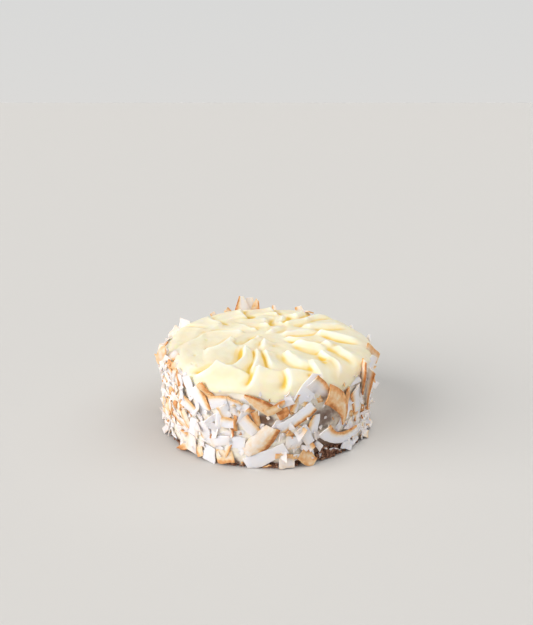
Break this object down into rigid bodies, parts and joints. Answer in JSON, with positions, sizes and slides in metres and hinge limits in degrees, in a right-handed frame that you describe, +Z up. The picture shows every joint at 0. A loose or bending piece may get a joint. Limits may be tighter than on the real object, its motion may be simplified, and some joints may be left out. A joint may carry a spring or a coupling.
{
  "type": "coconut cake",
  "caption": "Small round coconut cake: brown sponge, side cream covered in toasted coconut chips, and a pale yellow cream top worked into knife swirls.",
  "frame": {"origin": "centre of the sponge's flat base, where the cake stands", "axes": "+Z up through the middle of the cake, -Y towards the side that faces the viewer, +X to the viewer's right"},
  "size_m": [0.1585, 0.1546, 0.0696],
  "materials": {
    "sponge": "open brown crumb",
    "cream": "satin pale yellow cream",
    "coconut": "white coconut toasted brown at its edges, on cream"
  },
  "bodies": {
    "root": {"sponge": "sponge", "cream_top": "cream", "coconut_coat": "coconut"}
  },
  "joints": []
}
